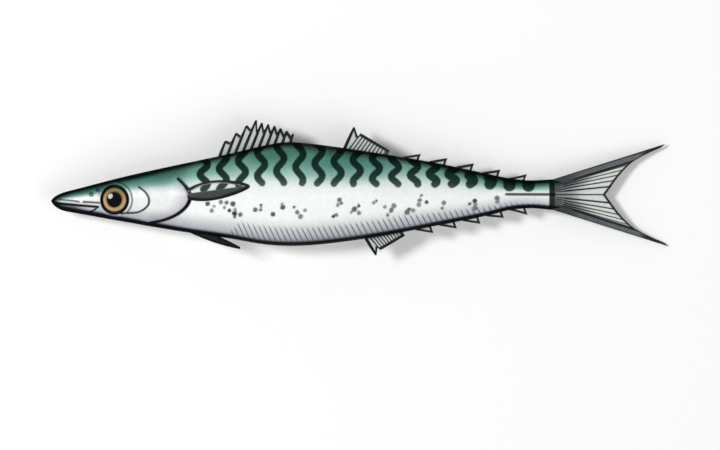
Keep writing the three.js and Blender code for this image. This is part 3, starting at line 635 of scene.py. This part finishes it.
def stand_spine(name, root, tip, stout):
    """A copy of the spine that runs from root to tip, each (s, y), bowed towards the table like its fin."""
    copy = copy_of(spine, name)
    reach = Vector(tip) - Vector(root)
    copy.scale = (stout, reach.length / SPINE_LENGTH, stout)
    copy.rotation_euler.z = math.atan2(-reach.x, reach.y)
    copy.location = in_frame(*root, 0.0)
    bpy.ops.object.transform_apply(location=True, rotation=True, scale=True)
    at = vertices_of(copy.data)
    height = np.hypot(at[:, 0] - SNOUT_X - root[0] * MM, at[:, 1] - FORK_Y - root[1] * MM) / MM
    at[:, 2] -= FIN_LEAN * height**2 * MM
    move_vertices(copy.data, at)
    return copy


# Fin bone: smooth, dark and wet. The eye sees a blackish green, clouded every 2 mm, with a soft glint.
fin_bone = new_material("dark_fin_spine")
grain_place = node(fin_bone, "TexCoord")["Object"]
grain = node(fin_bone, "TexNoise", {"Scale": 500, "Detail": 2, "Vector": grain_place})["Fac"]
bone = node(fin_bone, "ValToRGB", {"Fac": grain, "stops": [(0.3, "#040807"), (0.7, "#141a18")]})[0]
shader = node(fin_bone, "BsdfPrincipled", {
    "Base Color": bone, "Roughness": 0.4, "IOR": 1.4, "Specular IOR Level": 0.25})[0]
node(fin_bone, "OutputMaterial", {"Surface": shader})


def finish(piece, material):
    """A piece of the fins: what it is made of, and that it stands for its share of the fish."""
    piece.data.materials.append(material)
    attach(piece, "root")
    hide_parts("fish")


for k, height in enumerate(SPINE_HEIGHTS):
    at = SPINE_FROM + SPINE_PITCH * k
    root, tip = (at, back(at) - FIN_BEDDED), (at + SPINE_SLANT * height, back(at) + height)
    finish(stand_spine(f"dorsal_spine_{k + 1}", root, tip, 1.5), fin_bone)


def fin_sheet(name, across, along, lay_out):
    """A thin fin from a flat grid. lay_out(v, u) gives s, y, z and half the thickness, then what the
    material reads: v runs from 0 to 1 across the rays and u from the fin's root to its edge.
    rays is the ray's number, the breadth of one, and the distance from the free edge; look is how dark the
    film is, how strong its rays are, and how clear it is."""
    bpy.ops.object.select_all(action="DESELECT")
    bpy.ops.mesh.primitive_grid_add(x_subdivisions=across, y_subdivisions=along, size=2)
    fin = bpy.context.object
    fin.name = name
    flat = vertices_of(fin.data)
    s, y, z, half, rays, look = lay_out((flat[:, 0] + 1) / 2, (flat[:, 1] + 1) / 2)
    middle = in_frame(s, y, z)
    move_vertices(fin.data, middle)
    fin.data.update()
    paint(fin.data, "middle", *middle.T)
    paint(fin.data, "half", half, half, half)
    paint(fin.data, "rays", *rays)
    paint(fin.data, "look", *look)
    apply_modifier(fin, "SOLIDIFY", thickness=MM, offset=0)
    at = vertices_of(fin.data)
    kept = [np.empty(len(at) * 3, np.float32) for _ in range(2)]
    for column, values in zip(["middle", "half"], kept):
        fin.data.attributes[column].data.foreach_get("vector", values)
        fin.data.attributes.remove(fin.data.attributes[column])
    middle, half = (values.reshape(-1, 3) for values in kept)
    off = at - middle
    at = middle + off / np.linalg.norm(off, axis=1)[:, None] * half * MM
    at[:, 2] = np.maximum(at[:, 2], 0)
    move_vertices(fin.data, at)
    only(fin)
    bpy.ops.object.mode_set(mode="EDIT")
    bpy.ops.mesh.select_all(action="SELECT")
    bpy.ops.mesh.normals_make_consistent(inside=False)
    bpy.ops.object.mode_set(mode="OBJECT")
    bpy.ops.object.shade_smooth()
    return fin


# The free edge tops each spine and runs straight down from there to the flank of the next one
edge_s, edge_height = [], []
for k, height in enumerate(SPINE_HEIGHTS):
    at = SPINE_FROM + SPINE_PITCH * k
    edge_s += [at - 0.35, at + 0.35]
    edge_height += [0.96 * height, height]
    if k < len(SPINE_HEIGHTS) - 1:
        edge_s.append(at + SPINE_PITCH - 0.8)
        edge_height.append(min(0.8 * height, 0.74 * SPINE_HEIGHTS[k + 1]))


def first_dorsal(v, u):
    root_s = edge_s[0] + (edge_s[-1] - edge_s[0]) * v
    height = np.interp(root_s, edge_s, edge_height)
    length = np.hypot(SPINE_SLANT * height, height + FIN_BEDDED)
    s = root_s + SPINE_SLANT * height * u
    y = back(root_s) - FIN_BEDDED + (height + FIN_BEDDED) * u
    # The dark free edge is broader from the fourth spine on
    nearness = np.interp(root_s, [104.8, 106], [0.86, 0.62])
    rays = (root_s / 1.1, 1.0, nearness * (1 - u) * length)
    look = (0.07 + 0.09 * ease(u, 0.5, 0), 0.15, 0.1)
    return s, y, -FIN_LEAN * (length * u) ** 2, 0.24, rays, look


# Fin skin: a thin, damp, grey-green film, see-through enough that the light below brightens it, with dark
# rays in it, a dark free edge, and clouds 2.4 mm across
fin_skin = new_material("thin_fin_skin")
fin_place = node(fin_skin, "TexCoord")["Object"]
kept = node(fin_skin, "Attribute", {"attribute_name": "rays"})["Vector"]
rays = node(fin_skin, "SeparateXYZ", {0: kept})
kept = node(fin_skin, "Attribute", {"attribute_name": "look"})["Vector"]
look = node(fin_skin, "SeparateXYZ", {0: kept})
cloud = node(fin_skin, "TexNoise", {"Scale": 420, "Detail": 3, "Vector": fin_place})["Fac"]
shade = node(fin_skin, "Math", {"operation": "MULTIPLY_ADD", 0: cloud, 1: 0.16, 2: look[0]})[0]
film = node(fin_skin, "ValToRGB", {"Fac": shade, "stops": [
    (0.05, "#f2f7f3"), (0.2, "#d8e0dc"), (0.35, "#b1bab6"), (0.6, "#787f83"), (0.8, "#54595f"),
    (1, "#20242b")]})[0]
ray = node(fin_skin, "Math", {"operation": "FRACT", 0: rays[0]})[0]
ray = node(fin_skin, "Math", {"operation": "SUBTRACT", 0: ray, 1: 0.5})[0]
ray = node(fin_skin, "Math", {"operation": "ABSOLUTE", 0: ray})[0]
ray = node(fin_skin, "Math", {"operation": "SUBTRACT", 0: 0.5, 1: ray})[0]
ray = node(fin_skin, "Math", {"operation": "MULTIPLY", 0: ray, 1: rays[1]})[0]
ray = node(fin_skin, "MapRange", {"Value": ray, "From Min": 0.4, "From Max": 0.16})[0]
ray = node(fin_skin, "Math", {"operation": "MULTIPLY", 0: ray, 1: look[1]})[0]
film = node(fin_skin, "Mix", {"data_type": "RGBA", 0: ray, 6: film, 7: "#1a2120"})[2]
border = node(fin_skin, "MapRange", {
    "Value": rays[2], "From Min": 1.65, "From Max": 1.2, "To Max": 0.98})[0]
film = node(fin_skin, "Mix", {"data_type": "RGBA", 0: border, 6: film, 7: "#080c0e"})[2]
shader = node(fin_skin, "BsdfPrincipled", {
    "Base Color": film, "Roughness": 0.4, "IOR": 1.36, "Specular IOR Level": 0.4, "Coat Weight": 0.2,
    "Coat Roughness": 0.12, "Coat IOR": 1.33})[0]
through = node(fin_skin, "BsdfTranslucent", {"Color": film})[0]
shader = node(fin_skin, "MixShader", {0: 0.3, 1: shader, 2: through})[0]
solid = node(fin_skin, "Math", {"operation": "MAXIMUM", 0: ray, 1: border})[0]
open_film = node(fin_skin, "Math", {"operation": "SUBTRACT", 0: 1.0, 1: solid})[0]
clear = node(fin_skin, "Math", {"operation": "MULTIPLY", 0: open_film, 1: look[2]})[0]
gap = node(fin_skin, "BsdfTransparent")[0]
shader = node(fin_skin, "MixShader", {0: clear, 1: shader, 2: gap})[0]
node(fin_skin, "OutputMaterial", {"Surface": shader})
finish(fin_sheet("dorsal_membrane", 200, 26, first_dorsal), fin_skin)

# SECOND DORSAL AND ANAL FIN
# The soft fin of the back and its twin under the belly: a stout leading ray, a notch, then eleven short
# soft rays in one film. Each fin is one thin sheet with the rays as ridges, and a spine as its leading ray.
SOFT_RAYS = 11
# From the leading ray to the first soft one
LEADING_GAP = 2.8


def soft_fin(name, edge, sign, start, end, lead, lead_slant, tall, low, slant):
    """A fin on the back (sign 1) or belly (-1) from start to end. lead is the leading ray's height, and the
    soft rays go from tall to low. A slant is how far back a tip lies for each millimetre of height."""
    first_soft = start + LEADING_GAP
    soft_s = np.linspace(first_soft, end, 2 * SOFT_RAYS - 1)
    soft_height = np.linspace(tall, low, 2 * SOFT_RAYS - 1)
    dip = np.where(np.arange(len(soft_s)) % 2 == 1, 0.955, 1)
    knot_s = [start, start + 0.7, start + 1.7, *soft_s]
    knot_height = [lead * 0.97, lead, tall * 0.77, *(soft_height * dip)]
    knot_reach = [lead * lead_slant, lead * lead_slant, tall * slant * 0.9, *(soft_height * slant)]

    def lay_out(v, u):
        root_s = start + (end - start) * v
        height, reach = np.interp(root_s, knot_s, knot_height), np.interp(root_s, knot_s, knot_reach)
        s = root_s + reach * u
        foot = edge(root_s) - sign * FIN_BEDDED
        y = foot + (edge(root_s + 0.3 * reach) + sign * height - foot) * u
        length = np.hypot(reach, height + FIN_BEDDED)
        number = np.interp(root_s, [start, first_soft, end], [0.5, 1, SOFT_RAYS])
        off_ray = np.abs(number - np.round(number)) * 1.6
        half = 0.2 + 0.28 * np.exp(-((off_ray / 0.3) ** 2)) * (1 - 0.5 * u) * (root_s > first_soft - 0.5)
        rays = (number, 1.3, np.minimum(0.85 * (1 - u) * length, 0.95 * (end - root_s)))
        line = np.where(root_s > first_soft - 0.6, 0.95, 0.0)
        look = (0.09 + 0.11 * ease(u, 0.5, 0), line, 0.1)
        return s, y, -FIN_LEAN * (length * u) ** 2, half, rays, look

    finish(fin_sheet(name + "_membrane", 150, 24, lay_out), fin_skin)
    at = start + 0.5
    leading = stand_spine(name + "_leading_ray", (at, edge(at) - sign * FIN_BEDDED),
                          (at + lead * lead_slant, edge(at + 0.3 * lead * lead_slant) + sign * lead), 1.55)
    finish(leading, fin_bone)


soft_fin("second_dorsal", back, 1, 160.6, 184.6, 11.7, 0.51, 8.7, 2.3, 0.85)
soft_fin("anal", belly, -1, 172.1, 193.1, 9.3, 0.7, 6.9, 1.9, 0.97)

# FINLETS
# Five small sails behind the soft fin of the back and five below: stiff film on a few short rays. One is
# made above and one below, and the others are copies, each moved to where the tail stem has its edge.

# Length over all, how much of it is a free tip behind the root, and how deep the root stands in the stem
FINLET_LENGTH, FINLET_FREE, FINLET_BEDDED = 9.8, 1.6, 1.2


def finlet_row(name, edge, sign, first_tip, pitch, height, swell):
    """Five finlets, one each pitch. The middle one is taller than the first by swell."""
    start = first_tip - FINLET_LENGTH

    def lay_out(v, u):
        root_s = start + (FINLET_LENGTH - FINLET_FREE) * v
        tip_s = start + FINLET_LENGTH * v
        rise = 0.25 + (height - 0.25) * v
        s = root_s + (tip_s - root_s) * u
        length = rise + FINLET_BEDDED
        y = edge(root_s) - sign * FINLET_BEDDED + (edge(tip_s) - edge(root_s) + sign * length) * u
        to_back = (1 - v) * FINLET_LENGTH * 0.95
        rays = (v * 5 + 0.5, 1.6, np.minimum((1 - u) * length, to_back))
        look = (0.03 + 0.16 * ease(u, 0.5, 0), 0.2, 0.1)
        return s, y, -FIN_LEAN * (length * u) ** 2, 0.34 - 0.1 * u, rays, look

    first = fin_sheet(f"{name}_finlet_1", 48, 16, lay_out)
    shape = vertices_of(first.data)
    s, y = (shape[:, 0] - SNOUT_X) / MM, (shape[:, 1] - FORK_Y) / MM
    finlets = [first]
    for k in range(1, 5):
        copy = copy_of(first, f"{name}_finlet_{k + 1}")
        stretch = 1 + swell * math.sin(math.pi * k / 4) / height
        moved = shape.copy()
        moved[:, 0] += pitch * k * MM
        moved[:, 1] = FORK_Y + (edge(s + pitch * k) + (y - edge(s)) * stretch) * MM
        moved[:, 2] += (middle_plane(s + pitch * k) - middle_plane(s)) * MM
        move_vertices(copy.data, moved)
        finlets.append(copy)
    for finlet in finlets:
        finish(finlet, fin_skin)


finlet_row("back", back, 1, 203.7, 14.6, 3.4, 0.7)
finlet_row("belly", belly, -1, 210.6, 12.95, 3.7, 0.0)

# TAIL FIN
# The forked tail: rays fan out from the stem, closely packed and dark along both outer edges and at the
# base, and spread in a pale film in the middle. It is one sheet with the rays as ridges.
TAIL_SPAN, TAIL_FORK, TAIL_LENGTH = 28.2, 305.2, 63
# How far behind the fork the trailing edge lies, from the fork (0) to the tip of a lobe (1)
TAIL_SWEEP = [(0, 0), (0.16, 3.3), (0.33, 6.8), (0.49, 10.7), (0.62, 14.6), (0.72, 19), (0.83, 25.2),
              (0.93, 31.5), (1, 34)]
tail_sweep = smooth_through(TAIL_SWEEP)


def tail(v, u):
    across = 2 * v - 1
    way = np.sign(across) * np.abs(across) ** 0.8
    w = np.abs(way)
    edge_s = TAIL_FORK + tail_sweep(w) - 0.8 * way * w
    edge_y = 0.2 * (1 - w) + TAIL_SPAN * way
    root_s, root_y = PEDUNCLE_END - 0.5, TAIL_ROOT_Y + TAIL_ROOT_HALF * way
    s = root_s + (edge_s - root_s) * u
    y = root_y + (edge_y - root_y) * u
    # The rays lie wider apart next to the middle one
    number = np.where(np.abs(across) < RAY_SPACING, w / RAY_SPACING**0.8, np.abs(across) / RAY_SPACING)
    per_ray = (0.85 + 2.1 * u) * np.where(number < 0.5, 1.6, 1)
    off_ray = np.abs(number - np.round(number)) * per_ray
    # How far inside the outer edge of its lobe each place is. The margin along it is thick and dark.
    from_edge = TAIL_ROOT_Y + TAIL_ROOT_HALF + 0.313 * (s - PEDUNCLE_END) - np.abs(y)
    margin = 1 - ease(from_edge, 3.1, 3.6)
    ridge = 0.62 + 0.38 * np.exp(-((off_ray / 0.45) ** 2))
    half = (1.15 + 0.5 * w**6 + (0.42 - 1.15 - 0.5 * w**6) * np.sqrt(u)) * (ridge + (1 - ridge) * margin)
    length = np.hypot(edge_s - root_s, edge_y - root_y)
    # Dark: a line inside the margin, the outline, the base and the trailing tips
    inner = np.minimum(1, 1.4 * np.exp(-(((from_edge - 3.6) / 0.75) ** 2))) * ease(s, 280, 290)
    outline = 1 - ease(from_edge, 0.4, 1.0)
    off_middle = ease(np.abs(across), 0.08, 0.5)
    base = (0.32 + 0.36 * off_middle) * (1 - ease(s, 284, 296 + 9 * off_middle))
    shade = np.maximum(base, np.maximum(margin * 0.5, np.maximum(inner, 0.8 * outline)))
    shade = np.maximum(shade, ease(s, 318, 330))
    line = 1 - 0.2 * margin
    rays = (number, 0.78 * per_ray, (0.65 + 0.3 * (1 - w) ** 2) * (1 - u) * length)
    look = (shade, line, 0.0)
    # The upper lobe lifts a little off the table and the lower one sinks
    return s, y, 0.03 * y * ((s - PEDUNCLE_END) / TAIL_LENGTH) ** 2, half, rays, look


finish(fin_sheet("tail_fin", 300, 70, tail), fin_skin)

# PECTORAL FINS
# One on each flank behind the gill cover, laid back on the skin: a short rounded blade of soft rays, dark
# in its lower half and a clear film in its upper half, through which the bars of the back show.
PECTORAL_FROM, PECTORAL_LENGTH, PECTORAL_RAYS = 75.6, 33.6, 5


def pectoral_on(side):
    """Lays out the fin of one flank. Its rays are PECTORAL_RAYS to each side of its middle line."""
    def lay_out(v, u):
        across = 2 * v - 1
        breadth = (2.2 + 2.85 * np.sin(math.pi * u**0.75)) * np.sqrt(1 - 0.97 * u**6)
        s = PECTORAL_FROM + PECTORAL_LENGTH * u
        y = 0.5 + 4.2 * u + 0.25 * np.sin(math.pi * u) + across * breadth
        from_edge = (1 - np.abs(across)) * breadth + 0.05
        from_edge = np.minimum(from_edge, (1 - u) * PECTORAL_LENGTH)
        number = across * PECTORAL_RAYS + 0.5
        per_ray = breadth / PECTORAL_RAYS
        off_ray = np.abs(number - np.round(number)) * per_ray
        top = 0.3 + 0.6 * ease(from_edge, 0, 0.8) + 0.16 * np.exp(-((off_ray / 0.3) ** 2))
        half = 0.7
        # It follows the flank's slope, and its outer face stands off the skin by top
        step = 0.1
        slope_s = (flank_height(s + step, y) - flank_height(s - step, y)) / (2 * step)
        slope_y = (flank_height(s, y + step) - flank_height(s, y - step)) / (2 * step)
        long = np.sqrt(1 + slope_s**2 + slope_y**2)
        lift = (top - half) / long
        z = side * (flank_height(s, y) + lift)
        lower = 1 - ease(across, -0.12, 0.06)
        look = (0.04 + 0.67 * lower, 0.4 * lower, 0.985 * (1 - lower))
        return s - slope_s * lift, y - slope_y * lift, z, half, (number, per_ray, from_edge), look

    return lay_out


finish(fin_sheet("left_pectoral", 90, 70, pectoral_on(1)), fin_skin)
finish(fin_sheet("right_pectoral", 90, 70, pectoral_on(-1)), fin_skin)

# PELVIC FINS
# A pair under the belly, folded back against it, one on each side of the middle: narrow, stiff and dark,
# each one thin sheet with the rays as ridges.
PELVIC_FROM, PELVIC_LENGTH, PELVIC_RAYS = 75, 29.3, 3


def pelvic_on(side):
    """Lays out the fin of one side. Its rays are PELVIC_RAYS to each side of its middle line."""
    def lay_out(v, u):
        across = 2 * v - 1
        swell = 1.35 * np.sin(math.pi * (u * 0.85 + 0.1)) * (1 - 0.4 * u)
        breadth = (1.2 + swell) * (1 - 0.55 * u**6)
        s = PELVIC_FROM + PELVIC_LENGTH * u
        y = -18.3 - 10.9 * u + across * breadth
        z = side * (2.2 + 1.4 * u)
        number = across * PELVIC_RAYS + 0.5
        off_ray = np.abs(number - np.round(number)) * breadth / PELVIC_RAYS
        half = (0.4 + 0.22 * np.exp(-((off_ray / 0.3) ** 2))) * (1 - 0.3 * u)
        # The dark edge is counted from just inside the blunt tip
        from_edge = np.minimum((1 - np.abs(across)) * breadth, (1 - u) * (PELVIC_LENGTH - 0.3))
        rays = (number, breadth / PELVIC_RAYS, from_edge)
        return s, y, z, half, rays, (0.92, 0.6, 0.0)

    return lay_out


finish(fin_sheet("left_pelvic", 40, 60, pelvic_on(1)), fin_skin)
finish(fin_sheet("right_pelvic", 40, 60, pelvic_on(-1)), fin_skin)
bpy.data.objects.remove(spine)

# FLOOR, LIGHT AND CAMERA
# A plain white table, a soft lamp up to the left behind the fish's back, a weaker one opposite, and a long
# lens that looks straight down.
bpy.ops.object.select_all(action="DESELECT")
bpy.ops.mesh.primitive_plane_add(size=6, location=(0, 0, 0))
floor = bpy.context.object
floor.name = "table"
table_top = new_material("white_matt_table")
shader = node(table_top, "BsdfPrincipled", {"Base Color": "#fbfbfb", "Roughness": 0.9})[0]
node(table_top, "OutputMaterial", {"Surface": shader})
floor.data.materials.append(table_top)

scene = bpy.context.scene
scene.view_settings.view_transform = "Standard"
world = bpy.data.worlds.new("studio")
world.use_nodes = True
world.node_tree.nodes["Background"].inputs["Color"].default_value = (1, 1, 1, 1)
world.node_tree.nodes["Background"].inputs["Strength"].default_value = 0.42
scene.world = world


def area_light(name, place, size, power):
    """A round soft lamp, size metres across and of power watts, that looks at the middle of the fish."""
    light = bpy.data.lights.new(name, "AREA")
    light.shape = "DISK"
    light.size = size
    light.energy = power
    lamp = bpy.data.objects.new(name, light)
    lamp.location = place
    lamp.rotation_mode = "QUATERNION"
    lamp.rotation_quaternion = (-Vector(place)).to_track_quat("-Z", "Y")
    scene.collection.objects.link(lamp)


area_light("key", (-1.7, 0.48, 2.4), 0.75, 52)
area_light("fill", (1.7, -1.2, 2.6), 3.0, 25)

# What the picture's middle shows, as (s, y), and how much of the table its width takes in, in metres
PICTURE_MIDDLE = (170.2, -16.5)
VIEW_WIDTH = 0.396
CAMERA_HEIGHT = 8.0
SENSOR_MM = 36
camera_data = bpy.data.cameras.new("camera")
camera_data.sensor_width = SENSOR_MM
camera_data.lens = SENSOR_MM * CAMERA_HEIGHT / VIEW_WIDTH
camera = bpy.data.objects.new("camera", camera_data)
camera.location = (SNOUT_X + PICTURE_MIDDLE[0] * MM, FORK_Y + PICTURE_MIDDLE[1] * MM,
                   LIFT * MM + CAMERA_HEIGHT)
scene.collection.objects.link(camera)
scene.camera = camera
